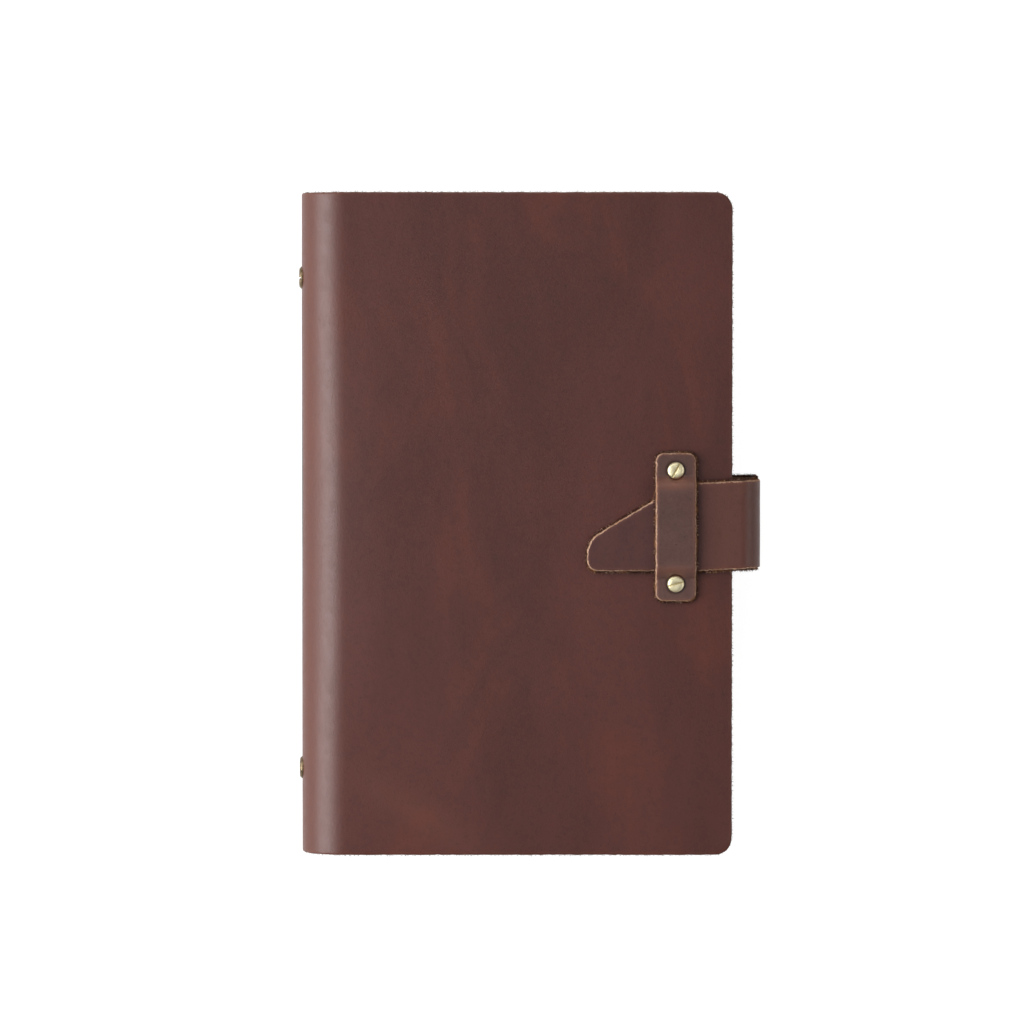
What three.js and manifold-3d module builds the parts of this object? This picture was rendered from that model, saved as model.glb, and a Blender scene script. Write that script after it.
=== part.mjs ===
// Leather notebook cover with a six-ring mechanism, closed by a strap under a keeper loop.
// Millimetres. The cover lies closed on its back panel: +X points to the fore-edge,
// +Y to the head of the leaves and +Z out of the front panel. The origin is the middle
// of the underside of its bounding box.

import * as THREE from "three";
import { mergeVertices } from "three/addons/utils/BufferGeometryUtils.js";
import Module from "manifold-3d";

const wasm = await Module();
wasm.setup();

// ---- Driving dimensions ----------------------------------------------------------------

const COVER_HEIGHT = 192; // head to tail
const COVER_WIDTH = 125; // spine to fore-edge, closed
const COVER_THICKNESS = 26; // over both panels, closed
const HIDE = 2; // cover leather
const STRAP = 1.8; // strap and keeper leather
const GAP = 0.3; // between pieces that move past each other
const CORNER_RADIUS = 5.1; // fore-edge corners of both panels
const STRAP_BULGE = 8.2; // how far the strap stands out past the fore-edge
const HEAD_PROUD = 0.7; // spine screw heads outside the spine leather

const STRAP_WIDTH = 25.8;
const STRAP_BEND_RADIUS = 6; // outer radius of both bends around the fore-edge
const STRAP_LEAN = 1.4; // the strap's root sits this much nearer the head than its tongue
const CLOSURE_Y = -0.8; // middle of the tongue and of the keeper

const KEEPER_WIDTH = 12;
const KEEPER_LENGTH = 43.2;
const KEEPER_CORNER = 2;
const KEEPER_SCREW_PITCH = 32.8;
const KEEPER_FROM_EDGE = 16.4; // keeper's middle line, in from the fore-edge

const LEAF_WIDTH = 95;
const LEAF_HEIGHT = 171;
const LEAF_STACK = 20; // both halves of the stack together

const RING_Y = [25.5, 44.5, 63.5]; // ring planes, repeated below the middle
const RING_INNER = 13;
const RING_WIRE = 2.2;
const PLATE_STEEL = 0.8;
const PLATE_HALF_LENGTH = 77;
const PLATE_HALF_WIDTH = 6.6;
const SPINE_SCREW_Y = 71.5;

// ---- Dimensions that follow from them ---------------------------------------------------

const MID_Z = COVER_THICKNESS / 2;
const SPINE_RADIUS = COVER_THICKNESS / 2;
const HALF_SPAN = (COVER_WIDTH + STRAP_BULGE + HEAD_PROUD) / 2;
const SPINE_X = HEAD_PROUD - HALF_SPAN; // outermost leather of the spine
const FORE_EDGE_X = SPINE_X + COVER_WIDTH;
const ARC_X = SPINE_X + SPINE_RADIUS; // centre line of the round spine
const STRAP_OUT_X = FORE_EDGE_X + STRAP_BULGE;
const SEAM = GAP / 2 / (SPINE_RADIUS - HIDE); // half the cut between two parts of the hide
const FRONT_Z = COVER_THICKNESS; // outer face of the front panel
const TONGUE_Z = FRONT_Z + GAP; // underside of the tongue
const RING_X = ARC_X - 3.2; // ring centres
const RING_RADIUS = (RING_INNER + RING_WIRE) / 2;
const KEEPER_X = FORE_EDGE_X - KEEPER_FROM_EDGE;
const LEAF_LEFT_X = RING_X + 2.6;
const LEAF_NOTCH_HALF = 2; // half height of the notch that clears each ring
const LEAF_NOTCH_X = RING_X + 12;
const LEAF_EDGE_HALF = 4.2; // half depth of the stack at its ring edge, pinched by the rings
const LEAF_SPREAD_HALF = 6; // and a little further out
const RING_PLANES = [...RING_Y].reverse().concat(RING_Y.map((y) => -y));

const EIGHTH = Math.PI / 4;

// ---- Colours and finishes ---------------------------------------------------------------

function material(color, roughness, metalness) {
  return new THREE.MeshStandardMaterial({ color, roughness, metalness });
}

const leather = () => material(0x5c3b38, 0.5, 0);
const strapLeather = () => material(0x573a36, 0.52, 0);
const keeperLeather = () => material(0x5e4742, 0.55, 0);
const brass = () => material(0xb7a684, 0.35, 1);
const darkBrass = () => material(0x5a4a36, 0.45, 1);
const steel = () => material(0xb9bcc0, 0.25, 1);
const paper = () => material(0xf0ece0, 0.9, 0);

// ---- Making solids ----------------------------------------------------------------------

// Welds a three.js geometry into a closed solid that can be joined and cut.
function solid(geometry) {
  geometry.deleteAttribute("normal");
  geometry.deleteAttribute("uv");
  const welded = mergeVertices(geometry);
  const corners = welded.index.array;
  const kept = [];
  for (let i = 0; i < corners.length; i += 3) {
    const [a, b, c] = [corners[i], corners[i + 1], corners[i + 2]];
    if (a !== b && b !== c && c !== a) kept.push(a, b, c);
  }
  return new wasm.Manifold(
    new wasm.Mesh({
      numProp: 3,
      vertProperties: new Float32Array(welded.attributes.position.array),
      triVerts: new Uint32Array(kept),
    }),
  );
}

function geometryOf(body) {
  const mesh = body.getMesh();
  const geometry = new THREE.BufferGeometry();
  geometry.setAttribute("position", new THREE.BufferAttribute(mesh.vertProperties, 3));
  geometry.setIndex(new THREE.BufferAttribute(mesh.triVerts, 1));
  geometry.computeVertexNormals();
  return geometry;
}

function reshape(geometry, place) {
  const position = geometry.attributes.position;
  for (let i = 0; i < position.count; i += 1) {
    position.setXYZ(i, ...place(position.getX(i), position.getY(i), position.getZ(i)));
  }
  return geometry;
}

function extruded(shape, depth, steps, curveSegments) {
  return new THREE.ExtrudeGeometry(shape, { depth, steps, curveSegments, bevelEnabled: false });
}

// A shape drawn in (x, z), extruded from y = low to y = high.
function alongY(shape, low, high, curveSegments = 12, steps = 1) {
  const body = extruded(shape, high - low, steps, curveSegments);
  return solid(reshape(body, (x, z, depth) => [x, high - depth, z]));
}

// A shape drawn in (x, y), extruded from z = low to z = high.
function alongZ(shape, low, high, curveSegments = 8, steps = 1) {
  const body = extruded(shape, high - low, steps, curveSegments);
  return solid(reshape(body, (x, y, depth) => [x, y, low + depth]));
}

function block(low, high) {
  const size = high.map((value, i) => value - low[i]);
  const box = new THREE.BoxGeometry(...size);
  box.translate(...low.map((value, i) => value + size[i] / 2));
  return solid(box);
}

// A profile of [radius, height] turned about +Z through (x, y).
function turnedZ(profile, x, y, segments = 24) {
  const points = profile.map(([radius, height]) => new THREE.Vector2(radius, height));
  const body = new THREE.LatheGeometry(points, segments);
  return solid(reshape(body, (px, height, pz) => [x + px, y - pz, height]));
}

// The same, about +X through (y, z).
function turnedX(profile, y, z, segments = 24) {
  const points = profile.map(([radius, height]) => new THREE.Vector2(radius, height));
  const body = new THREE.LatheGeometry(points, segments);
  return solid(reshape(body, (px, height, pz) => [height, y + pz, z + px]));
}

function rod(radius, low, high) {
  return [[0, low], [radius, low], [radius, high], [0, high]];
}

// ---- The hide: back panel, round spine and front panel ------------------------------------

// side is -1 for the back panel and +1 for the front panel.
function panelShape(side) {
  const seamAngle = side * (3 * EIGHTH - SEAM);
  const flatAngle = side * 2 * EIGHTH;
  const inner = SPINE_RADIUS - HIDE;
  const shape = new THREE.Shape();
  shape.moveTo(FORE_EDGE_X, MID_Z + side * SPINE_RADIUS);
  shape.lineTo(ARC_X, MID_Z + side * SPINE_RADIUS);
  shape.absarc(ARC_X, MID_Z, SPINE_RADIUS, flatAngle, seamAngle, side < 0);
  shape.absarc(ARC_X, MID_Z, inner, seamAngle, flatAngle, side > 0);
  shape.lineTo(FORE_EDGE_X, MID_Z + side * inner);
  return shape;
}

function coverOutline() {
  const half = COVER_HEIGHT / 2;
  const shape = new THREE.Shape();
  shape.moveTo(SPINE_X - 1, -half);
  shape.lineTo(FORE_EDGE_X - CORNER_RADIUS, -half);
  shape.absarc(FORE_EDGE_X - CORNER_RADIUS, CORNER_RADIUS - half, CORNER_RADIUS, -2 * EIGHTH, 0);
  shape.absarc(FORE_EDGE_X - CORNER_RADIUS, half - CORNER_RADIUS, CORNER_RADIUS, 0, 2 * EIGHTH);
  shape.lineTo(SPINE_X - 1, half);
  return shape;
}

function panel(side) {
  const sheet = alongY(panelShape(side), -COVER_HEIGHT / 2 - 1, COVER_HEIGHT / 2 + 1, 6);
  return sheet.intersect(alongZ(coverOutline(), -1, COVER_THICKNESS + 1, 8));
}

// ---- Post screws through the leather ------------------------------------------------------

const SMALL_HEAD = 2.4; // radius of the screw heads on the keeper and on the strap's root
const SMALL_STEM = 1.7; // radius of a post's barrel
const SMALL_SHANK = 1; // radius of the screw inside it
const SMALL_CAP_RADIUS = 2.4; // the post's own cap, on the other face of the leather
const CAP_HEIGHT = 0.8;
const HEAD_HEIGHT = 0.9;
const SMALL_HOLE = rod(SMALL_STEM + GAP, -5, COVER_THICKNESS + 10);
const HEAD_BEVEL = 0.4;
const SLOT_WIDTH = 0.7;
const SLOT_DEPTH = 0.4;
const SMALL_TIP_DEPTH = 1.4; // how deep the screws' shanks go below the face they pass
const SUNK_CAP_Z = 0.1; // caps under the back panel stay clear of the table

function headProfile(radius, seat, height, tip) {
  return [
    [0, tip],
    [SMALL_SHANK, tip],
    [SMALL_SHANK, seat],
    [radius, seat],
    [radius, seat + height * 0.55],
    [radius * 0.82, seat + height * 0.9],
    [0, seat + height],
  ];
}

// A slotted screw whose head sits on z = seat and whose shank points down to z = tip.
function slottedScrewZ(x, y, seat, tip, slotAngle) {
  const screw = turnedZ(headProfile(SMALL_HEAD, seat, HEAD_HEIGHT, tip), x, y);
  const slot = new THREE.BoxGeometry(SMALL_HEAD * 3, SLOT_WIDTH, SLOT_DEPTH * 2);
  slot.rotateZ(slotAngle);
  slot.translate(x, y, seat + HEAD_HEIGHT);
  return screw.subtract(solid(slot));
}

// A post with its cap from z = cap to cap + CAP_HEIGHT and an open barrel up to z = top.
function postZ(x, y, cap, top) {
  const seat = cap + CAP_HEIGHT;
  const profile = [
    [0, cap],
    [SMALL_CAP_RADIUS - 0.25, cap],
    [SMALL_CAP_RADIUS, cap + 0.3],
    [SMALL_CAP_RADIUS, seat],
    [SMALL_STEM, seat],
    [SMALL_STEM, top],
    [SMALL_SHANK + GAP, top],
    [SMALL_SHANK + GAP, seat - GAP],
    [0, seat - GAP],
  ];
  return turnedZ(profile, x, y);
}

// ---- Keeper: a leather loop screwed to the front panel ------------------------------------

const KEEPER_TOP = TONGUE_Z + STRAP + GAP; // underside of the raised middle
const HUMP_HALF = STRAP_WIDTH / 2 + 2 * GAP; // half length of the raised middle
const HUMP_DRAWN_IN = 1.3; // how much shorter the top of the raised middle is than its underside
const FOOT_HALF = KEEPER_SCREW_PITCH / 2 - SMALL_HEAD - 0.05; // where the feet are flat again
const FOOT_CREASE = 0.2; // how far past that the crease on the underside lies

function keeper() {
  const half = KEEPER_LENGTH / 2;
  const rise = new THREE.Shape();
  rise.moveTo(-half, FRONT_Z);
  rise.lineTo(-FOOT_HALF - FOOT_CREASE, FRONT_Z);
  rise.lineTo(-HUMP_HALF, KEEPER_TOP);
  rise.lineTo(HUMP_HALF, KEEPER_TOP);
  rise.lineTo(FOOT_HALF + FOOT_CREASE, FRONT_Z);
  rise.lineTo(half, FRONT_Z);
  rise.lineTo(half, FRONT_Z + STRAP);
  rise.lineTo(FOOT_HALF, FRONT_Z + STRAP);
  rise.lineTo(HUMP_HALF - HUMP_DRAWN_IN, KEEPER_TOP + STRAP);
  rise.lineTo(HUMP_DRAWN_IN - HUMP_HALF, KEEPER_TOP + STRAP);
  rise.lineTo(-FOOT_HALF, FRONT_Z + STRAP);
  rise.lineTo(-half, FRONT_Z + STRAP);
  const width = KEEPER_WIDTH / 2;
  const strip = extruded(rise, KEEPER_WIDTH + 2, 1, 1);
  const ribbon = solid(
    reshape(strip, (along, z, across) => [KEEPER_X - width - 1 + across, CLOSURE_Y + along, z]),
  );
  const outline = new THREE.Shape();
  const turn = KEEPER_CORNER;
  outline.absarc(KEEPER_X + width - turn, CLOSURE_Y + half - turn, turn, 0, 2 * EIGHTH);
  outline.absarc(KEEPER_X - width + turn, CLOSURE_Y + half - turn, turn, 2 * EIGHTH, 4 * EIGHTH);
  outline.absarc(KEEPER_X - width + turn, CLOSURE_Y - half + turn, turn, 4 * EIGHTH, 6 * EIGHTH);
  outline.absarc(KEEPER_X + width - turn, CLOSURE_Y - half + turn, turn, 6 * EIGHTH, 8 * EIGHTH);
  return ribbon.intersect(alongZ(outline, FRONT_Z - 1, FRONT_Z + 10, 5));
}

// ---- Strap: root inside the back panel, wrap around the fore-edge, tongue -------------------

const ROOT_END_X = FORE_EDGE_X - 15.2; // inner end of the root
const ROOT_Z = HIDE; // the root lies on the inside of the back panel
const ROOT_SCREW_X = FORE_EDGE_X - 7.8;
const ROOT_SCREW_HALF_PITCH = 7;
const STRAP_CUT_X = STRAP_OUT_X - STRAP_BEND_RADIUS; // where both bends begin
const TONGUE_TIP_X = FORE_EDGE_X - 42.2;
const TONGUE_TAPER_X = FORE_EDGE_X - 14.7;
const NOSE_RADIUS = 7.4;
const NOSE_X = TONGUE_TIP_X + NOSE_RADIUS;
const NOSE_Y = CLOSURE_Y - 7.9;
const HEEL_RADIUS = 3.3;
const TAPER_ANGLE = THREE.MathUtils.degToRad(31);

// Shifts the strap's root towards the head: nothing at the tongue, STRAP_LEAN at the root.
function leaned(x, y, z) {
  return [x, y + (STRAP_LEAN * (TONGUE_Z - z)) / (TONGUE_Z - ROOT_Z), z];
}

function strapSection(shape, segments) {
  const low = CLOSURE_Y - STRAP_WIDTH / 2;
  const body = extruded(shape, STRAP_WIDTH, 1, segments);
  reshape(body, (x, z, depth) => leaned(x, low + STRAP_WIDTH - depth, z));
  return solid(body);
}

function strapRoot() {
  const shape = new THREE.Shape();
  shape.moveTo(ROOT_END_X, ROOT_Z);
  shape.lineTo(STRAP_CUT_X - GAP, ROOT_Z);
  shape.lineTo(STRAP_CUT_X - GAP, ROOT_Z + STRAP);
  shape.lineTo(ROOT_END_X, ROOT_Z + STRAP);
  return strapSection(shape, 1);
}

function strapWrap() {
  const low = ROOT_Z + STRAP_BEND_RADIUS;
  const high = TONGUE_Z + STRAP - STRAP_BEND_RADIUS;
  const inner = STRAP_BEND_RADIUS - STRAP;
  const shape = new THREE.Shape();
  shape.moveTo(STRAP_CUT_X, ROOT_Z);
  shape.absarc(STRAP_CUT_X, low, STRAP_BEND_RADIUS, -2 * EIGHTH, 0);
  shape.absarc(STRAP_CUT_X, high, STRAP_BEND_RADIUS, 0, 2 * EIGHTH);
  shape.absarc(STRAP_CUT_X, high, inner, 2 * EIGHTH, 0, true);
  shape.absarc(STRAP_CUT_X, low, inner, 0, -2 * EIGHTH, true);
  return strapSection(shape, 6);
}

function strapTongue() {
  const top = CLOSURE_Y + STRAP_WIDTH / 2;
  const bottom = CLOSURE_Y - STRAP_WIDTH / 2;
  const shape = new THREE.Shape();
  shape.moveTo(STRAP_CUT_X - GAP, bottom);
  shape.lineTo(STRAP_CUT_X - GAP, top);
  shape.lineTo(TONGUE_TAPER_X, top);
  shape.absarc(NOSE_X, NOSE_Y, NOSE_RADIUS, 2 * EIGHTH + TAPER_ANGLE, 4 * EIGHTH);
  shape.absarc(TONGUE_TIP_X + HEEL_RADIUS, bottom + HEEL_RADIUS, HEEL_RADIUS, 4 * EIGHTH, 6 * EIGHTH);
  return alongZ(shape, TONGUE_Z, TONGUE_Z + STRAP, 8);
}

// ---- Ring mechanism on the spine ------------------------------------------------------------

const PLATE_EDGE_X = ARC_X - 8.3;
const PLATE_CROWN_X = ARC_X - 6;
const CROWN_HALF = 2.8; // flat middle of the arched plate
const SHOULDER_HALF = 5;
const SHOULDER_X = ARC_X - 6.6;
const SKIRT_X = ARC_X - 7.5;
const BLADE_BACK_X = ARC_X - 9;
const BLADE_FACE_X = BLADE_BACK_X + PLATE_STEEL;
const BLADE_HALF = 5.5;
const BLADE_HALF_LENGTH = 76;
const BLADE_MIDDLE_GAP = 0.25; // each blade's edge to the middle plane
const BLADE_HOLE_ROOM = 0.8; // round the spine posts
const RING_END = THREE.MathUtils.degToRad(118); // ring wire runs from its tip to here
const FOOT_TOP_X = ARC_X - 6.6;
const FOOT_NEAR = 4.6;
const FOOT_FAR = 6.6;
const SPINE_HEAD_RADIUS = 3.3;
const SPINE_STEM_RADIUS = 2.1;
const SPINE_SHANK_RADIUS = 1.4;
const SPINE_SEAT_X = SPINE_X + 0.5; // flat seat of the screw heads, sunk in the round spine
const SPINE_CAP_RADIUS = 2.7;
const SPINE_CAP_HEIGHT = 0.8;
const SPINE_SLOT_WIDTH = 0.9;
const SPINE_SLOT_DEPTH = 0.5;
const SPINE_SHANK_TIP_X = PLATE_CROWN_X - 1.2;
const LEVER_HALF_WIDTH = 2;
const LEVER_FOOT_X = ARC_X - 10.1; // back of the foot that lies under both blades
const LEVER_FOOT = 2.2; // how far the foot reaches in from the end of the plate
const LEVER_TIP = 7.6; // how far the thumb tab reaches out from it
const LEVER_TIP_X = ARC_X - 6.2;
const LEVER_STEEL = 0.7;

function ringPlate() {
  const outer = [
    [PLATE_HALF_WIDTH, PLATE_EDGE_X],
    [PLATE_HALF_WIDTH, SKIRT_X],
    [SHOULDER_HALF, SHOULDER_X],
    [CROWN_HALF, PLATE_CROWN_X],
  ];
  const inner = [
    [CROWN_HALF - 0.2, PLATE_CROWN_X - PLATE_STEEL],
    [SHOULDER_HALF - 0.5, SHOULDER_X - PLATE_STEEL],
    [PLATE_HALF_WIDTH - PLATE_STEEL, SKIRT_X - PLATE_STEEL / 2],
    [PLATE_HALF_WIDTH - PLATE_STEEL, PLATE_EDGE_X],
  ];
  const mirrored = (list) => list.map(([half, x]) => [-half, x]).reverse();
  const points = [...outer, ...mirrored(outer), ...mirrored(inner), ...inner];
  const shape = new THREE.Shape(points.map(([half, x]) => new THREE.Vector2(x, MID_Z + half)));
  let plate = alongY(shape, -PLATE_HALF_LENGTH, PLATE_HALF_LENGTH, 1);
  const slotHalf = RING_WIRE / 2 + 0.5;
  for (const y of RING_PLANES) {
    for (const side of [-1, 1]) {
      const near = MID_Z + side * (FOOT_NEAR - 0.8);
      const far = MID_Z + side * (PLATE_HALF_WIDTH + 1);
      const low = [PLATE_EDGE_X - 1, y - slotHalf, Math.min(near, far)];
      const high = [PLATE_CROWN_X + 1, y + slotHalf, Math.max(near, far)];
      plate = plate.subtract(block(low, high));
    }
  }
  for (const y of [SPINE_SCREW_Y, -SPINE_SCREW_Y]) {
    const hole = turnedX(rod(SPINE_STEM_RADIUS + GAP, PLATE_EDGE_X, PLATE_CROWN_X + 1), y, MID_Z);
    plate = plate.subtract(hole);
  }
  return plate;
}

// side is +1 for the blade that carries the upper half rings and -1 for the other.
function blade(side) {
  const near = MID_Z + side * BLADE_MIDDLE_GAP;
  const far = MID_Z + side * BLADE_HALF;
  let strip = block(
    [BLADE_BACK_X, -BLADE_HALF_LENGTH, Math.min(near, far)],
    [BLADE_FACE_X, BLADE_HALF_LENGTH, Math.max(near, far)],
  );
  for (const y of [SPINE_SCREW_Y, -SPINE_SCREW_Y]) {
    const room = rod(SPINE_STEM_RADIUS + BLADE_HOLE_ROOM, BLADE_BACK_X - 1, BLADE_FACE_X + 1);
    const hole = turnedX(room, y, MID_Z);
    strip = strip.subtract(hole);
  }
  return strip;
}

class RingArc extends THREE.Curve {
  constructor(side, y) {
    super();
    this.side = side;
    this.y = y;
  }

  getPoint(t, target = new THREE.Vector3()) {
    const start = GAP / 2 / RING_RADIUS;
    const angle = start + t * (RING_END - start);
    const x = RING_X + RING_RADIUS * Math.cos(angle);
    return target.set(x, this.y, MID_Z + this.side * RING_RADIUS * Math.sin(angle));
  }
}

function halfRing(side, y) {
  const section = new THREE.Shape();
  section.absarc(0, 0, RING_WIRE / 2, 0, 8 * EIGHTH);
  const wire = new THREE.ExtrudeGeometry(section, {
    extrudePath: new RingArc(side, y),
    steps: 9,
    curveSegments: 5,
    bevelEnabled: false,
  });
  const near = MID_Z + side * FOOT_NEAR;
  const far = MID_Z + side * FOOT_FAR;
  const foot = block(
    [BLADE_FACE_X, y - RING_WIRE / 2, Math.min(near, far)],
    [FOOT_TOP_X, y + RING_WIRE / 2, Math.max(near, far)],
  );
  return solid(wire).add(foot);
}

// end is +1 for the lever at the head and -1 for the lever at the tail.
function lever(end) {
  const y = PLATE_HALF_LENGTH;
  const profile = [
    [y - LEVER_FOOT, LEVER_FOOT_X],
    [y + 0.6, LEVER_FOOT_X],
    [y + 1.6, BLADE_FACE_X - 0.6],
    [y + LEVER_TIP - 0.6, SKIRT_X - 0.1],
    [y + LEVER_TIP, LEVER_TIP_X],
    [y + LEVER_TIP - 0.9, LEVER_TIP_X],
    [y + LEVER_TIP - 1.4, LEVER_TIP_X - 0.6],
    [y + 1, BLADE_FACE_X + 0.6],
    [y + 0.3, LEVER_FOOT_X + 0.9],
    [y - LEVER_FOOT, LEVER_FOOT_X + LEVER_STEEL],
  ];
  const shape = new THREE.Shape(profile.map(([py, x]) => new THREE.Vector2(x, end * py)));
  return alongZ(shape, MID_Z - LEVER_HALF_WIDTH, MID_Z + LEVER_HALF_WIDTH, 1);
}

function spineScrew(y, slotAngle) {
  const profile = [
    [0, SPINE_X - HEAD_PROUD],
    [SPINE_HEAD_RADIUS * 0.8, SPINE_X - HEAD_PROUD],
    [SPINE_HEAD_RADIUS, SPINE_X - HEAD_PROUD + HEAD_BEVEL],
    [SPINE_HEAD_RADIUS, SPINE_SEAT_X],
    [SPINE_SHANK_RADIUS, SPINE_SEAT_X],
    [SPINE_SHANK_RADIUS, SPINE_SHANK_TIP_X],
    [0, SPINE_SHANK_TIP_X],
  ];
  const slot = new THREE.BoxGeometry(SPINE_SLOT_DEPTH * 2, SPINE_SLOT_WIDTH, SPINE_HEAD_RADIUS * 3);
  slot.rotateX(slotAngle);
  slot.translate(SPINE_X - HEAD_PROUD, y, MID_Z);
  return turnedX(profile, y, MID_Z, 28).subtract(solid(slot));
}

// The barrel that holds the ring plate off the spine, headed over on the plate's crown.
function spinePost(y) {
  const bore = SPINE_SHANK_RADIUS + GAP;
  const foot = SPINE_X + HIDE + GAP;
  const bottom = SPINE_SHANK_TIP_X + GAP;
  const profile = [
    [bore, foot],
    [SPINE_STEM_RADIUS, foot],
    [SPINE_STEM_RADIUS, PLATE_CROWN_X],
    [SPINE_CAP_RADIUS, PLATE_CROWN_X],
    [SPINE_CAP_RADIUS, PLATE_CROWN_X + SPINE_CAP_HEIGHT / 2],
    [SPINE_STEM_RADIUS, PLATE_CROWN_X + SPINE_CAP_HEIGHT - 0.1],
    [0, PLATE_CROWN_X + SPINE_CAP_HEIGHT],
    [0, bottom],
    [bore, bottom],
    [bore, foot],
  ];
  return turnedX(profile, y, MID_Z);
}

// ---- Leaves ---------------------------------------------------------------------------------

// side is -1 for the half of the stack on the back panel and +1 for the half on the front.
function leaves(side) {
  const depth = LEAF_STACK / 2;
  const right = LEAF_LEFT_X + LEAF_WIDTH;
  const points = [
    [LEAF_LEFT_X, GAP / 2],
    [LEAF_LEFT_X, LEAF_EDGE_HALF],
    [ARC_X + 5, LEAF_SPREAD_HALF],
    [ARC_X + 15.5, depth],
    [right, depth],
    [right, GAP / 2],
  ];
  const shape = new THREE.Shape(points.map(([x, from]) => new THREE.Vector2(x, MID_Z + side * from)));
  let stack = alongY(shape, -LEAF_HEIGHT / 2, LEAF_HEIGHT / 2, 1);
  for (const y of RING_PLANES) {
    const low = [LEAF_LEFT_X - 1, y - LEAF_NOTCH_HALF, 0];
    const high = [LEAF_NOTCH_X, y + LEAF_NOTCH_HALF, COVER_THICKNESS];
    stack = stack.subtract(block(low, high));
  }
  return stack;
}

// ---- Assembly -------------------------------------------------------------------------------

const notebook = new THREE.Group();

function addPiece(name, body, finish) {
  const mesh = new THREE.Mesh(geometryOf(body), finish);
  mesh.name = name;
  notebook.add(mesh);
}

function drilled(body, places) {
  let result = body;
  for (const [x, y] of places) result = result.subtract(turnedZ(SMALL_HOLE, x, y));
  return result;
}

const keeperScrews = [
  [KEEPER_X, CLOSURE_Y + KEEPER_SCREW_PITCH / 2],
  [KEEPER_X, CLOSURE_Y - KEEPER_SCREW_PITCH / 2],
];
const rootMiddleY = CLOSURE_Y + STRAP_LEAN;
const rootScrews = [
  [ROOT_SCREW_X, rootMiddleY + ROOT_SCREW_HALF_PITCH],
  [ROOT_SCREW_X, rootMiddleY - ROOT_SCREW_HALF_PITCH],
];

// Back panel, with sunk seats for the caps of the strap's two posts.
let backPanel = drilled(panel(-1), rootScrews);
const sunkCap = rod(SMALL_CAP_RADIUS + GAP, -1, SUNK_CAP_Z + CAP_HEIGHT);
for (const [x, y] of rootScrews) backPanel = backPanel.subtract(turnedZ(sunkCap, x, y));
addPiece("back_panel", backPanel, leather());

// Middle of the spine, with a sunk seat and a hole for each spine screw.
const spineShape = new THREE.Shape();
spineShape.absarc(ARC_X, MID_Z, SPINE_RADIUS, 3 * EIGHTH + SEAM, 5 * EIGHTH - SEAM);
spineShape.absarc(ARC_X, MID_Z, SPINE_RADIUS - HIDE, 5 * EIGHTH - SEAM, 3 * EIGHTH + SEAM, true);
let spinePanel = alongY(spineShape, -COVER_HEIGHT / 2, COVER_HEIGHT / 2, 12);
for (const y of [SPINE_SCREW_Y, -SPINE_SCREW_Y]) {
  const seat = rod(SPINE_HEAD_RADIUS + GAP, SPINE_X - 1, SPINE_SEAT_X);
  const hole = rod(SPINE_SHANK_RADIUS + GAP, SPINE_X - 1, ARC_X);
  spinePanel = spinePanel.subtract(turnedX(seat, y, MID_Z)).subtract(turnedX(hole, y, MID_Z));
}
addPiece("spine_panel", spinePanel, leather());

addPiece("front_panel", drilled(panel(1), keeperScrews), leather());

addPiece("keeper", drilled(keeper(), keeperScrews), keeperLeather());
const keeperNames = ["upper", "lower"];
const keeperSlots = [Math.PI * 0.56, Math.PI * 0.09];
keeperScrews.forEach(([x, y], i) => {
  const screw = slottedScrewZ(x, y, FRONT_Z + STRAP, FRONT_Z - SMALL_TIP_DEPTH, keeperSlots[i]);
  addPiece(`keeper_screw_${keeperNames[i]}`, screw, brass());
  const post = postZ(x, y, FRONT_Z - HIDE - CAP_HEIGHT, FRONT_Z + STRAP - GAP);
  addPiece(`keeper_post_${keeperNames[i]}`, post, brass());
});

addPiece("strap_root", drilled(strapRoot(), rootScrews), strapLeather());
rootScrews.forEach(([x, y], i) => {
  const screw = slottedScrewZ(x, y, ROOT_Z + STRAP, ROOT_Z - 0.7, Math.PI * (0.2 + 0.5 * i));
  addPiece(`strap_screw_${keeperNames[i]}`, screw, brass());
  const post = postZ(x, y, SUNK_CAP_Z, ROOT_Z + STRAP - GAP);
  addPiece(`strap_post_${keeperNames[i]}`, post, brass());
});
addPiece("strap_wrap", strapWrap(), strapLeather());
addPiece("strap_tongue", strapTongue(), strapLeather());

const endNames = ["head", "tail"];
[1, -1].forEach((end, i) => {
  const y = end * SPINE_SCREW_Y;
  addPiece(`spine_screw_${endNames[i]}`, spineScrew(y, 0.1 + 0.25 * i), darkBrass());
  addPiece(`spine_post_${endNames[i]}`, spinePost(y), steel());
  addPiece(`lever_${endNames[i]}`, lever(end), steel());
});
addPiece("ring_plate", ringPlate(), steel());
addPiece("upper_blade", blade(1), steel());
addPiece("lower_blade", blade(-1), steel());
RING_PLANES.forEach((y, i) => {
  addPiece(`upper_ring_${i + 1}`, halfRing(1, y), steel());
  addPiece(`lower_ring_${i + 1}`, halfRing(-1, y), steel());
});

addPiece("rear_leaves", leaves(-1), paper());
addPiece("front_leaves", leaves(1), paper());

export default notebook;
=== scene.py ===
"""Looks for the leather ring notebook cover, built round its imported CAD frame. Metres throughout."""

import random
from math import atan2, copysign, cos, exp, hypot, pi, radians, sin, sqrt, tan

import bmesh
import bpy
from mathutils import Matrix, Vector, noise


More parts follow.
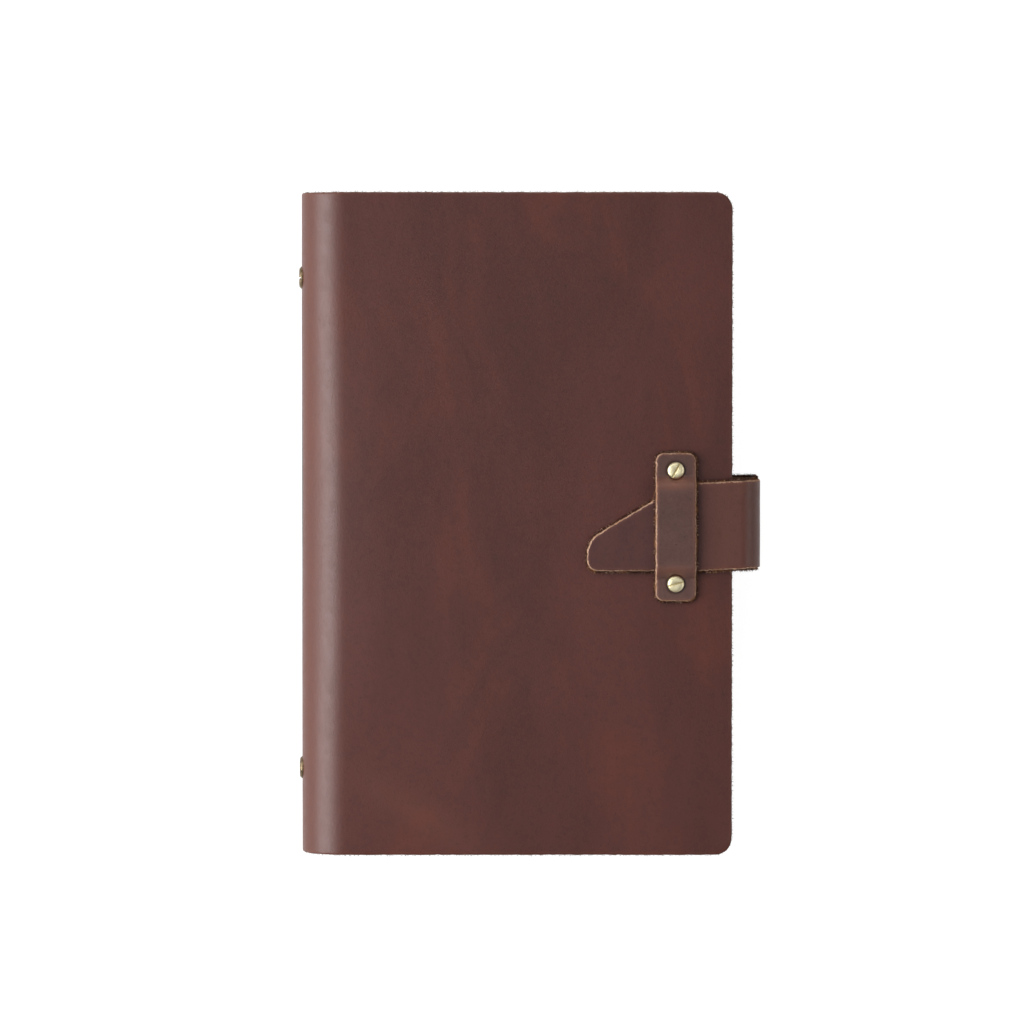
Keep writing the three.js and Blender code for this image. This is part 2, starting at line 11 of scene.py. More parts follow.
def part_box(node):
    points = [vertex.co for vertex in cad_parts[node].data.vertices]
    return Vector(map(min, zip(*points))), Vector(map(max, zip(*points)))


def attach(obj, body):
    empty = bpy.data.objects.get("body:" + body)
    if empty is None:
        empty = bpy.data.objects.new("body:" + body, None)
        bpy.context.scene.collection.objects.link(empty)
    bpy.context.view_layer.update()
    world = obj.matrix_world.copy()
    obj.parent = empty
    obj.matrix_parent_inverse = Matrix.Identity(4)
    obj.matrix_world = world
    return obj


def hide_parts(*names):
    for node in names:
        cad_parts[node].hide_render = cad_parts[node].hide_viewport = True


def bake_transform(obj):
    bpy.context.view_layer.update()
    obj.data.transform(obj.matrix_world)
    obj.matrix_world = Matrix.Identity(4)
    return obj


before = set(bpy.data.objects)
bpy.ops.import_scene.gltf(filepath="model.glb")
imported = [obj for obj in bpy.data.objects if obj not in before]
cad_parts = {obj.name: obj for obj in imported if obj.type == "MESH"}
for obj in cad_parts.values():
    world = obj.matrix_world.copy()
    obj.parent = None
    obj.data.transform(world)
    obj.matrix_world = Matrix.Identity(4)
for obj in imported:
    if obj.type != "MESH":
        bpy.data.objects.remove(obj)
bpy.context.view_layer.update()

MM = 0.001
QUARTER = pi / 2

# ---- Sizes, read from the frame except for the round corner ----

front_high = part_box("front_panel")[1]
spine_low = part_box("spine_panel")[0]
root_low, root_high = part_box("strap_root")
wrap_low, wrap_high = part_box("strap_wrap")
tongue_low, tongue_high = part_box("strap_tongue")
keeper_low, keeper_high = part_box("keeper")
ring_low, ring_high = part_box("upper_ring_1")
plate_low, plate_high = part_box("ring_plate")
rear_low, rear_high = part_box("rear_leaves")

THICK = front_high.z  # closed cover, outside to outside
HIDE = root_low.z  # cover leather
STRAP = root_high.z - root_low.z  # strap and keeper leather
SPINE_X = spine_low.x
FORE_X = front_high.x
HALF_Y = front_high.y
RADIUS = THICK / 2
ARC_X = SPINE_X + RADIUS
MID_Z = THICK / 2
CORNER = 5.1 * MM  # radius of the cover's corners at the fore-edge

CUT_X = wrap_low.x  # where the strap starts to bend round the fore-edge
BEND = wrap_high.x - wrap_low.x
STRAP_MID_Z = (wrap_low.z + wrap_high.z) / 2
TIP_X = tongue_low.x
STRAP_Y = (tongue_low.y + tongue_high.y) / 2
STRAP_HALF = (tongue_high.y - tongue_low.y) / 2
STRAP_LEAN = (root_low.y + root_high.y) / 2 - STRAP_Y

KEEPER_X = (keeper_low.x + keeper_high.x) / 2
KEEPER_Y = (keeper_low.y + keeper_high.y) / 2
KEEPER_RISE = keeper_high.z - THICK - STRAP

WIRE = (ring_high.y - ring_low.y) / 2
RING_RADIUS = ring_high.z - MID_Z - WIRE
RING_X = ring_high.x - RING_RADIUS - WIRE


def placed(node):
    """A CAD node's low corner, high corner and centre."""
    low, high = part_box(node)
    return low, high, (low + high) / 2


RING_Y = [placed(f"upper_ring_{i}")[2].y for i in range(1, 7)]


def smooth(t):
    t = min(max(t, 0.0), 1.0)
    return t * t * (3 - 2 * t)


def bell(x, width):
    return exp(-((x / width) ** 2))


def wander(x, y, z, size):
    """Smooth noise from -1 to 1 whose bumps are about size across."""
    return noise.noise(Vector((x, y, z)) / size)


# ---- Materials ----


class Look:
    """A material and short calls that add nodes to it."""

    def __init__(self, name, **settings):
        self.material = bpy.data.materials.new(name)
        self.material.use_nodes = True
        self.tree = self.material.node_tree
        self.shader = self.tree.nodes["Principled BSDF"]
        for key, value in settings.items():
            self.shader.inputs[key.replace("_", " ")].default_value = value

    def put(self, socket, value):
        if isinstance(value, bpy.types.NodeSocket):
            self.tree.links.new(value, socket)
        else:
            socket.default_value = value

    def node(self, kind, inputs=(), **settings):
        made = self.tree.nodes.new("ShaderNode" + kind)
        for key, value in settings.items():
            setattr(made, key, value)
        for key, value in dict(inputs).items():
            self.put(made.inputs[key], value)
        return made

    def value(self, name):
        return self.node("Attribute", attribute_name=name).outputs["Fac"]

    def place(self, scale=(1, 1, 1), turn=0.0, shift=(0, 0, 0)):
        """Where a point is on its sheet, in millimetres, stretched and turned."""
        sheet = self.node("Attribute", attribute_name="sheet").outputs["Vector"]
        inputs = {"Vector": sheet, "Scale": scale, "Rotation": (0, 0, turn), "Location": shift}
        return self.node("Mapping", inputs).outputs["Vector"]

    def noise(self, scale, detail=3.0, roughness=0.5, where=None, distortion=0.0):
        inputs = {"Vector": where or self.place(), "Scale": scale, "Detail": detail}
        inputs |= {"Roughness": roughness, "Distortion": distortion}
        return self.node("TexNoise", inputs).outputs["Fac"]

    def cells(self, scale, where=None, feature="F1"):
        inputs = {"Vector": where or self.place(), "Scale": scale}
        return self.node("TexVoronoi", inputs, feature=feature).outputs["Distance"]

    def band(self, source, low, high, to_low=0.0, to_high=1.0):
        inputs = {"Value": source, "From Min": low, "From Max": high}
        inputs |= {"To Min": to_low, "To Max": to_high}
        return self.node("MapRange", inputs, interpolation_type="SMOOTHSTEP").outputs["Result"]

    def mix(self, factor, first, second, mode="MIX"):
        made = self.node("Mix", data_type="RGBA", blend_type=mode)
        self.put(made.inputs["Factor"], factor)
        self.put(made.inputs[6], first)
        self.put(made.inputs[7], second)
        return made.outputs[2]

    def sum(self, first, second, mode="ADD"):
        """The sum of two values, or another Math operation on them."""
        made = self.node("Math", operation=mode)
        self.put(made.inputs[0], first)
        self.put(made.inputs[1], second)
        return made.outputs[0]

    def times(self, first, second):
        return self.sum(first, second, "MULTIPLY")

    def bump(self, height, depth, under=None):
        """Bump whose full height is depth millimetres."""
        inputs = {"Height": height, "Distance": depth * MM, "Strength": 1.0}
        made = self.node("Bump", inputs)
        if under is not None:
            self.put(made.inputs["Normal"], under)
        return made.outputs["Normal"]

    def colour(self, value):
        self.put(self.shader.inputs["Base Color"], value)

    def roughness(self, value):
        self.put(self.shader.inputs["Roughness"], value)

    def normal(self, value):
        self.put(self.shader.inputs["Normal"], value)


def rgb(red, green, blue):
    return (red, green, blue, 1.0)


COVER_DARK = rgb(0.051, 0.0120, 0.0084)
COVER_LIGHT = rgb(0.070, 0.0170, 0.0124)
COVER_RED = rgb(0.094, 0.0200, 0.0110)
STRAP_DARK = rgb(0.046, 0.0132, 0.0110)
STRAP_LIGHT = rgb(0.066, 0.0202, 0.0166)
KEEPER_DARK = rgb(0.061, 0.0272, 0.0222)
KEEPER_LIGHT = rgb(0.083, 0.0385, 0.0315)
PULL_UP = rgb(0.220, 0.074, 0.037)
DEEP = rgb(0.020, 0.0060, 0.0050)
COVER_EDGE_PALE = rgb(0.150, 0.062, 0.038)
NAP_PALE = rgb(0.190, 0.098, 0.056)
NAP_DEEP = rgb(0.105, 0.048, 0.027)


def grain(name, dark, light, rough, seed, worn):
    """Oiled pull-up leather: clouded brown, redder patches, paler where it is bent or worn, with a painted
    sheen patch carried by stretch and painted shade carried by mark.
    """
    look = Look(name, Specular_IOR_Level=0.38)
    shift = (seed * 37.0, seed * 11.0, 0)
    here = look.place(shift=shift)
    streaked = look.place((1, 0.32, 1), shift=shift)
    clouds = look.band(look.noise(0.022, 5, 0.6, streaked, 0.5), 0.36, 0.66)
    colour = look.mix(clouds, dark, light)
    patches = look.noise(0.040, 4, 0.55, look.place((1, 0.45, 1), shift=(91 + shift[0], 17, 0)), 1.0)
    colour = look.mix(look.band(patches, 0.50, 0.78, 0, 0.6), colour, COVER_RED)
    mottle = look.noise(0.35, 6, 0.74, here)
    colour = look.mix(look.band(mottle, 0.44, 0.70, 0, 0.24), colour, DEEP)
    fleck = look.noise(1.7, 4, 0.7, look.place((1, 0.8, 1), shift=shift))
    colour = look.mix(look.band(fleck, 0.50, 0.74, 0, 0.55), colour, light)
    colour = look.mix(look.band(fleck, 0.48, 0.28, 0, 0.45), colour, DEEP)
    sparse = look.band(look.noise(0.11, 3, 0.6, here), 0.50, 0.62)
    specks = look.band(look.cells(0.34, here), 0.10, 0.04, 0, 0.75)
    colour = look.mix(look.times(specks, sparse), colour, DEEP)
    # stretch brings in pull-up paleness where the leather is bent or pulled; on the cover it also carries a
    # painted sheen patch.
    stretched = look.times(look.value("stretch"), look.band(mottle, 0.3, 0.7, 0.7, 1.2))
    colour = look.mix(stretched, colour, PULL_UP)
    rub = look.band(look.value("edge"), 0.0, 0.9, worn, 0.0)
    rub = look.times(rub, look.band(mottle, 0.35, 0.65, 0.5, 1.2))
    colour = look.mix(rub, colour, PULL_UP)
    # mark darkens towards DEEP: on the keeper this is painted shade round the screw heads.
    look.colour(look.mix(look.value("mark"), colour, DEEP))
    look.roughness(look.band(mottle, 0.25, 0.75, rough - 0.05, rough + 0.06))
    pores = look.band(look.cells(1.9, here, "SMOOTH_F1"), 0.05, 0.55)
    fine = look.noise(4.2, 5, 0.65, here)
    creases = look.noise(0.55, 4, 0.6, here, 0.8)
    height = look.sum(look.times(pores, 0.45), look.times(fine, 0.35))
    under = look.bump(creases, 0.045)
    look.normal(look.bump(height, 0.030, under))
    return look.material


def raw_edge(name, pale, deep, fuzz, seed):
    """The cut edge: a pale line under the grain side, then dark matted fibres with fuzzy patches; the dark
    lower part is partly painted shade where the edge meets the surface under it.
    """
    look = Look(name, Roughness=0.85, Specular_IOR_Level=0.2)
    here = look.place((1, 1, 2.5), shift=(seed * 13.0, 0, 0))
    bands = look.noise(1.9, 5, 0.7, here, 0.4)
    depth = look.node("SeparateXYZ", {"Vector": look.place()}).outputs["Z"]
    uneven = look.band(bands, 0.36, 0.58, 0.30, 1.1)
    # Below the pale line the edge takes deep: dark fibres, partly painted shade at the foot of the edge.
    colour = look.mix(look.times(look.band(depth, 0.12, 0.42), uneven), deep, pale)
    burnt = look.band(look.noise(0.45, 3, 0.5, here), 0.52, 0.74, 0, 0.6)
    colour = look.mix(burnt, colour, deep)
    patch = look.band(look.noise(0.17, 3, 0.6, here), 0.48, 0.62)
    patch = look.times(patch, look.band(bands, 0.35, 0.6))
    patch = look.times(patch, look.band(depth, -0.75, -0.2, 0, 0.8))
    look.colour(look.mix(patch, colour, fuzz))
    look.normal(look.bump(look.noise(7.0, 4, 0.7, here), 0.12))
    return look.material


def flesh(name, seed):
    """The suede side: short matted nap."""
    look = Look(name, Roughness=0.92, Specular_IOR_Level=0.15, Sheen_Weight=0.25, Sheen_Roughness=0.6)
    here = look.place(shift=(seed * 29.0, 5, 0))
    nap = look.noise(3.2, 6, 0.75, here, 0.5)
    brushed = look.noise(0.06, 4, 0.6, here, 0.8)
    colour = look.mix(look.band(nap, 0.3, 0.7), NAP_DEEP, NAP_PALE)
    look.colour(look.mix(look.band(brushed, 0.4, 0.65, 0, 0.45), colour, NAP_DEEP))
    look.normal(look.bump(nap, 0.10))
    return look.material


def leather_looks(name, dark, light, rough, seed, worn, edge):
    """The grain side, cut edge and flesh side of one leather."""
    return [
        grain(name + "_grain", dark, light, rough, seed, worn),
        raw_edge(name + "_edge", *edge, seed + 1),
        flesh(name + "_nap", seed + 2),
    ]


def metal(name, colour, tarnish, rough, scale=1.2, amount=0.5, depth=0.006):
    """Plated or antique metal with cloudy tarnish and fine brushing."""
    look = Look(name, Metallic=1.0)
    clouds = look.noise(scale, 5, 0.65)
    fine = look.noise(9.0, 3, 0.6, look.place((1, 6, 1), 0.7))
    look.colour(look.mix(look.band(clouds, 0.38, 0.72, 0, amount), colour, tarnish))
    look.roughness(look.band(clouds, 0.3, 0.75, rough - 0.06, rough + 0.14))
    look.normal(look.bump(fine, depth))
    return look.material


RULE_PITCH = 6.5  # millimetres between the ruled lines


def sheet_paper():
    """Uncoated leaves with faint ruled lines on their faces."""
    look = Look("paper", Roughness=0.88, Specular_IOR_Level=0.25)
    fibres = look.noise(1.8, 6, 0.75)
    tone = look.mix(look.band(fibres, 0.3, 0.7), rgb(0.60, 0.575, 0.51), rgb(0.65, 0.63, 0.57))
    shade = look.band(look.noise(0.05, 3, 0.5), 0.35, 0.7, 0, 0.25)
    tone = look.mix(shade, tone, rgb(0.57, 0.53, 0.46))
    across = look.node("SeparateXYZ", {"Vector": look.place()}).outputs["Y"]
    phase = look.sum(look.sum(across, RULE_PITCH, "DIVIDE"), 0.0, "FRACT")
    line = look.sum(look.band(phase, 0.47, 0.49), look.band(phase, 0.51, 0.53), "SUBTRACT")
    ruled = look.times(look.times(line, 0.34), look.value("mark"))
    look.colour(look.mix(ruled, tone, rgb(0.26, 0.31, 0.39)))
    look.normal(look.bump(fibres, 0.02))
    return look.material


# The second colour of each edge is dark fibre colour that also stands for painted shade at the foot of the
# edge.
tan_edge = (rgb(0.42, 0.25, 0.165), rgb(0.050, 0.016, 0.008), rgb(0.240, 0.100, 0.038))
cover_edge = (COVER_EDGE_PALE, rgb(0.045, 0.018, 0.013), COVER_EDGE_PALE)
cover_leather = leather_looks("cover", COVER_DARK, COVER_LIGHT, 0.43, 1, 0.06, cover_edge)
strap_leather = leather_looks("strap", STRAP_DARK, STRAP_LIGHT, 0.45, 4, 0.12, tan_edge)
keeper_leather = leather_looks("keeper", KEEPER_DARK, KEEPER_LIGHT, 0.47, 7, 0.22, tan_edge)
brass = metal("antique_brass", rgb(1.0, 0.90, 0.60), rgb(0.70, 0.58, 0.28), 0.36, 1.2, 0.45)
# Darker brass for the inside of the screw slots: painted shade in the slot.
slot_shade_brass = metal("slot_shade_brass", rgb(0.62, 0.52, 0.28), rgb(0.38, 0.30, 0.15), 0.45)
dark_brass = metal("dark_brass", rgb(0.20, 0.145, 0.085), rgb(0.045, 0.032, 0.022), 0.42, 1.6, 0.8)
nickel = metal("ring_nickel", rgb(0.72, 0.71, 0.69), rgb(0.48, 0.46, 0.43), 0.20, 0.25, 0.4, 0.002)
paper = sheet_paper()


# ---- Building meshes ----


def put_sheet(data, numbers):
    data.attributes.new("sheet", "FLOAT_VECTOR", "POINT").data.foreach_set("vector", numbers)


def add_object(name, data):
    made = bpy.data.objects.new(name, data)
    bpy.context.scene.collection.objects.link(made)
    return made


class Mesh:
    """Vertices with their place on the sheet (in millimetres), faces with a material number."""

    def __init__(self):
        self.points = []
        self.faces = []
        self.finish = []
        self.sheet = []
        self.values = {"edge": [], "stretch": [], "mark": []}

    def point(self, place, sheet=None, edge=9.0, stretch=0.0, mark=0.0):
        """Adds a vertex; without a sheet place of its own it takes its position as that."""
        self.points.append(tuple(place))
        self.sheet.append(tuple(c / MM for c in (place if sheet is None else sheet)))
        self.values["edge"].append(edge / MM)
        self.values["stretch"].append(stretch)
        self.values["mark"].append(mark)
        return len(self.points) - 1

    def face(self, corners, finish=0):
        self.faces.append(tuple(corners))
        self.finish.append(finish)

    def wrap(self, loops):
        """Faces between each closed loop of vertices and the next."""
        for first, second in zip(loops, loops[1:]):
            for n in range(len(first)):
                m = (n + 1) % len(first)
                self.face([first[n], first[m], second[m], second[n]])

    def piece(self, name, materials, sharp=None):
        data = bpy.data.meshes.new(name)
        data.from_pydata(self.points, [], self.faces)
        for material in materials:
            data.materials.append(material)
        data.polygons.foreach_set("material_index", self.finish)
        put_sheet(data, [c for place in self.sheet for c in place])
        for key, numbers in self.values.items():
            data.attributes.new(key, "FLOAT", "POINT").data.foreach_set("value", numbers)
        made = add_object(name, data)
        finish_normals(made, sharp)
        return made


def finish_normals(piece, sharp=None):
    """Faces out, smooth, with creases where faces meet at more than sharp degrees."""
    work = bmesh.new()
    work.from_mesh(piece.data)
    bmesh.ops.recalc_face_normals(work, faces=work.faces)
    for face in work.faces:
        face.smooth = True
    if sharp:
        limit = radians(sharp)
        for edge in work.edges:
            if len(edge.link_faces) == 2 and edge.calc_face_angle() > limit:
                edge.smooth = False
    work.to_mesh(piece.data)
    work.free()


def paint(piece, *finishes):
    """Gives the piece these materials only; all its faces take the first."""
    piece.data.materials.clear()
    for finish in finishes:
        piece.data.materials.append(finish)
    for polygon in piece.data.polygons:
        polygon.material_index = 0


def apply_modifiers(piece):
    ready = piece.evaluated_get(bpy.context.evaluated_depsgraph_get())
    data = bpy.data.meshes.new_from_object(ready)
    piece.modifiers.clear()
    piece.data = data


def cut(piece, cutters):
    """Cuts the cutters' shapes out of the piece and removes them."""
    for cutter in cutters:
        modifier = piece.modifiers.new("cut", "BOOLEAN")
        modifier.operation = "DIFFERENCE"
        modifier.solver = "EXACT"
        modifier.object = cutter
    apply_modifiers(piece)
    for cutter in cutters:
        bpy.data.objects.remove(cutter)


def rounded(piece, width, segments=2, angle=30):
    """Rounds every edge sharper than angle degrees."""
    modifier = piece.modifiers.new("round", "BEVEL")
    modifier.width = width
    modifier.segments = segments
    modifier.limit_method = "ANGLE"
    modifier.angle_limit = radians(angle)
    modifier.harden_normals = False
    apply_modifiers(piece)


def set_sheet(piece):
    """Gives a piece its own place as its sheet place, once its shape is final."""
    data = piece.data
    for name in ("sheet", "edge", "stretch", "mark"):
        if name in data.attributes:
            data.attributes.remove(data.attributes[name])
    put_sheet(data, [c / MM for vertex in data.vertices for c in vertex.co])


def block(name, low, high):
    made = Mesh()
    for x in (low[0], high[0]):
        for y in (low[1], high[1]):
            for z in (low[2], high[2]):
                made.point((x, y, z))
    sides = ((0, 1, 3, 2), (4, 6, 7, 5), (0, 4, 5, 1), (2, 3, 7, 6), (0, 2, 6, 4), (1, 5, 7, 3))
    for corners in sides:
        made.face(corners)
    return made.piece(name, [])


def turned(name, profile, where, axis, segments=64):
    """A closed profile of (radius, height) turned about axis ("X" or "Z") through where."""
    made = Mesh()
    rows = []
    for radius, height in profile:
        count = 1 if radius == 0 else segments
        row = []
        for k in range(count):
            turn = 2 * pi * k / segments
            a, b = radius * cos(turn), radius * sin(turn)
            place = (a, b, height) if axis == "Z" else (height, a, b)
            place = Vector(place) + Vector(where)
            row.append(made.point(place))
        rows.append(row)
    for first, second in zip(rows, rows[1:]):
        for k in range(segments):
            a, b = first[k % len(first)], first[(k + 1) % len(first)]
            c, d = second[(k + 1) % len(second)], second[k % len(second)]
            corners = list(dict.fromkeys((a, b, c, d)))
            if len(corners) > 2:
                made.face(corners)
    return made.piece(name, [])


def settle(piece, body, nodes):
    """Hangs a finished piece on its body in place of the CAD nodes it stands for."""
    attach(piece, body)
    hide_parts(*nodes)


def settle_bend(piece, nodes):
    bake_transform(piece)
    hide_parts(*nodes)


# ---- Leather sheets ----

# Round the cut edge from the grain side to the flesh side: (inset in millimetres, height as a
# share of half the thickness). The raw edge flares out where its fibres have matted.
SOFT_EDGE = [(0.55, 1.0), (0.24, 0.93), (0.06, 0.72), (0.0, 0.35)]
SOFT_EDGE += [(0.0, -0.5), (0.08, -0.88), (0.3, -1.0)]
RAW_EDGE = [(0.62, 1.0), (0.50, 0.96), (0.34, 0.74), (0.20, 0.42), (0.0, 0.0)]
RAW_EDGE += [(-0.24, -0.45), (-0.3, -0.75), (-0.1, -0.95), (0.3, -1.0)]


class Outline:
    """A sheet's two long edges, as rows of (u, v) points, and which of its short ends are cut."""

    def __init__(self, low, high, end_cut):
        self.low = [Vector(p) for p in low]
        self.high = [Vector(p) for p in high]
        self.rows = len(low)
        self.end_cut = end_cut
        self.low_in = self.inward(self.low, 1)
        self.high_in = self.inward(self.high, -1)

    @classmethod
    def even(cls, rows, half, end_cut):
        """The outline that reaches half(u) to both sides of the middle."""
        return cls([(u, -half(u)) for u in rows], [(u, half(u)) for u in rows], end_cut)

    def inward(self, edge, side):
        found = []
        for i in range(self.rows):
            if i == 0:
                found.append(Vector((1, 0)))
            elif i == self.rows - 1 and self.end_cut:
                found.append(Vector((-1, 0)))
            else:
                along = edge[min(i + 1, self.rows - 1)] - edge[i - 1]
                found.append(Vector((-along.y, along.x)).normalized() * side)
        return found

    def at(self, i, t, inset_low, inset_high):
        first = self.low[i] + self.low_in[i] * inset_low
        last = self.high[i] + self.high_in[i] * inset_high
        return first.lerp(last, t)

    def reach(self, i, t):
        """Distance to the nearest cut edge, near enough for colour."""
        width = (self.high[i] - self.low[i]).length
        along = (self.low[i].x + self.high[i].x) / 2
        gaps = [t * width, (1 - t) * width, along - self.low[0].x]
        if self.end_cut:
            gaps.append(self.low[-1].x - along)
        return max(0.0, min(gaps))


def leather(name, outline, place, thickness, edge_profile, columns, materials, rag, seed,
            stretch=lambda u, v: 0.0, mark=lambda u, v: 0.0, fibres=0.0, fibre_length=0.5 * MM):
    """A sheet of leather with a grain side, a flesh side and a ragged cut edge with loose fibres."""
    made = Mesh()
    half = thickness / 2
    last = outline.rows - 1
    draw = random.Random(seed)

    def ragged(i, t, share):
        at = outline.low[i].lerp(outline.high[i], t)
        coarse = wander(at.x, at.y, seed, 2.4 * MM)
        fine = wander(at.x, at.y, seed + 0.5, 0.75 * MM)
        return share * rag * (0.45 * coarse + 0.55 * fine)

    def spot(i, j, k):
        inset, height = edge_profile[k]
        share = 0.35 if k == 0 else 1.0
        if 0 < k < len(edge_profile) - 1:
            inset += draw.uniform(-0.5, 0.5) * rag / MM
        t = j / columns
        at = outline.at(i, t, inset * MM + ragged(i, 0, share), inset * MM + ragged(i, 1, share))
        if 0 < j < columns and (i == 0 or (i == last and outline.end_cut)):
            plain = outline.at(i, t, inset * MM, inset * MM)
            at = plain + (Vector((1, 0)) if i == 0 else Vector((-1, 0))) * ragged(i, t, share)
        return at, height * half

    def add(i, j, k):
        at, h = spot(i, j, k)
        sheet = (at.x, at.y, h)
        reach = outline.reach(i, j / columns)
        return made.point(place(*sheet), sheet, reach, stretch(at.x, at.y), mark(at.x, at.y))

    grids = []
    for k in (0, len(edge_profile) - 1):
        grids.append([[add(i, j, k) for j in range(columns + 1)] for i in range(outline.rows)])
    for number, grid in enumerate(grids):
        for i in range(last):
            for j in range(columns):
                corners = [grid[i][j], grid[i + 1][j], grid[i + 1][j + 1], grid[i][j + 1]]
                made.face(corners if number == 0 else corners[::-1], 0 if number == 0 else 2)

    border = [(i, 0) for i in range(last, -1, -1)]
    border += [(0, j) for j in range(1, columns)]
    border += [(i, columns) for i in range(outline.rows)]
    if outline.end_cut:
        border += [(last, j) for j in range(columns - 1, 0, -1)]
    loops = [[grids[0][i][j] for i, j in border]]
    for k in range(1, len(edge_profile) - 1):
        loops.append([add(i, j, k) for i, j in border])
    loops.append([grids[1][i][j] for i, j in border])
    steps = len(border) if outline.end_cut else len(border) - 1
    for k, (first, second) in enumerate(zip(loops, loops[1:])):
        for n in range(steps):
            m = (n + 1) % len(border)
            made.face([first[n], first[m], second[m], second[n]], 0 if k == 0 else 1)

    add_fibres(made, outline, place, half, columns, border, fibres, fibre_length, seed)
    return made.piece(name, materials)


FIBRE_ROOT = 0.1 * MM  # how far outside the cut a fibre starts
FIBRE_CORNERS = [2.0944 * k for k in range(3)]


def add_fibres(made, outline, place, half, columns, border, per_mm, length, seed):
    """Loose fibres along the cut edge: thin tapered hairs, each one closed."""
    draw = random.Random(seed)
    middle = Vector((outline.low[outline.rows // 2].x, 0))

    def hair_point(at, height):
        return made.point(place(at.x, at.y, height), (at.x, at.y, height), 0.0)

    for (i, j), (i2, j2) in zip(border, border[1:]):
        start = outline.low[i].lerp(outline.high[i], j / columns)
        stop = outline.low[i2].lerp(outline.high[i2], j2 / columns)
        step = stop - start
        if step.length == 0:
            continue
        expected = step.length / MM * per_mm
        along = step.normalized()
        out = Vector((along.y, -along.x))
        if out.dot(start - middle) < 0:
            out = -out
        for _ in range(int(expected + draw.random())):
            root = start + step * draw.random() + out * FIBRE_ROOT
            h = half * draw.uniform(-0.85, 0.4)
            reach = length * draw.uniform(0.25, 1.0)
            lean = draw.uniform(-0.9, 0.9) * reach
            rise = draw.uniform(-0.35, 0.35) * reach
            radius = draw.uniform(0.04, 0.13) * MM
            knee = root + out * reach * 0.5 + along * lean * 0.3
            tip = root + out * reach + along * lean
            rings = []
            for at, height, size in ((root, h, radius), (knee, h + rise * 0.3, radius * 0.8)):
                ring = []
                for turn in FIBRE_CORNERS:
                    side = along * size * cos(turn)
                    ring.append(hair_point(at + side, height + size * sin(turn)))
                rings.append(ring)
            end = hair_point(tip, h + rise)
            (a, b, c), (d, e, f) = rings
            sides = [(a, b, e, d), (d, e, end), (b, c, f, e), (e, f, end), (c, a, d, f), (f, d, end)]
            for corners in [(c, b, a)] + sides:
                made.face(corners, 1)


def spaced(*stretches):
    """Row positions: each stretch is (start, end, count), or with "ease" packed towards its start."""
    rows = []
    for start, end, count, *ease in stretches:
        for i in range(count):
            t = i / count
            rows.append(start + (end - start) * (1 - cos(t * QUARTER) if ease else t))
    rows.append(stretches[-1][1])
    return rows


# ---- The hide ----

FLAT = FORE_X - ARC_X
MID_RADIUS = RADIUS - HIDE / 2
HALF_SPINE = MID_RADIUS * QUARTER
SLUMP = 0.95 * MM  # how far the front slumps beside the round spine at mid-height
SLUMP_REACH = 55 * MM
HINGE_AT = FLAT + HALF_SPINE / 2
HIDE_RAG = 0.12 * MM  # how far the cut edge wanders
SKIVE = 0.55 * MM  # leather pared away inside each bend line, between the head and tail edges


def hide_place(side):
    """side is 1 for the front half and -1 for the rear half; u runs from the fore-edge to the mid-spine."""

    def place(u, v, h):
        swell = 0.16 * MM * wander(u, v, side * 3.0, 52 * MM)
        swell += 0.03 * MM * wander(u, v, side * 7.0, 13 * MM)
        if side < 0:
            swell = -abs(swell) * smooth((FLAT - u) / (8 * MM)) if u < FLAT else swell * 0.5
        outer = smooth(0.5 + h / HIDE)
        round_part = smooth((u - FLAT + 5 * MM) / (5 * MM))
        h += swell * (1 - round_part * (1 - outer))
        pared = bell(u - HINGE_AT, 4 * MM) * smooth((HALF_Y - abs(v)) / (12 * MM))
        h += SKIVE * (1 - outer) * pared
        if side > 0:
            near = u - FLAT - 8 * MM
            width = 11 * MM if near < 0 else 7 * MM
            amount = exp(-((v / SLUMP_REACH) ** 4)) * (1 + 0.3 * wander(0, v, 5.0, 28 * MM))
            h -= SLUMP * outer * amount * bell(near, width)
        if u <= FLAT:
            x, z = FORE_X - u, HIDE / 2 - h
        else:
            turn = (u - FLAT) / MID_RADIUS
            x = ARC_X - (MID_RADIUS + h) * sin(turn)
            z = RADIUS - (MID_RADIUS + h) * cos(turn)
        return x, v, (THICK - z if side > 0 else z)

    return place


def cover_half(u):
    """Half height of the cover at a distance u from the fore-edge, with the round corner."""
    if u >= CORNER:
        return HALF_Y
    return HALF_Y - CORNER + sqrt(max(0.0, CORNER**2 - (CORNER - u) ** 2))


def build_hide():
    rows = spaced((0, CORNER, 10, "ease"), (CORNER, FLAT, 96), (FLAT, FLAT + HALF_SPINE, 44))
    outline = Outline.even(rows, cover_half, False)

    def bend_wear_and_sheen(u, v):
        """Paler round the spine where it is bent, with one painted sheen patch near the tail."""
        bent = 0.14 * smooth((u - FLAT + 3 * MM) / (12 * MM))
        across = (FLAT - u - 18 * MM) * 0.6 + (v + HALF_Y - 14 * MM) * 0.8
        # The second term is a painted sheen patch near the tail.
        return bent + 0.09 * bell(across, 5 * MM) * bell(v + HALF_Y - 13 * MM, 11 * MM)

    for side, name, bodies, nodes in (
        (1, "hide_front", ("spine", "front"), ["front_panel", "spine_panel"]),
        (-1, "hide_rear", ("back", "spine"), ["back_panel"]),
    ):
        sheet = leather(
            name, outline, hide_place(side), HIDE, SOFT_EDGE, 200, cover_leather, HIDE_RAG, 20 + side,
            bend_wear_and_sheen, fibres=1.6,
        )
        settle_bend(sheet, nodes)


# ---- The strap ----

STRAP_RADIUS = BEND - STRAP / 2
STRAP_TURN = STRAP_RADIUS * QUARTER
STRAP_RISE = STRAP_MID_Z - wrap_low.z - BEND
NOSE = 7.4 * MM
HEEL = 3.3 * MM
SLANT = radians(31)
NOSE_Y = STRAP_Y - 7.9 * MM
ROOT_CORNER = 2.5 * MM
LEAN_LENGTH = 40 * MM
STRAP_RAG = 0.24 * MM


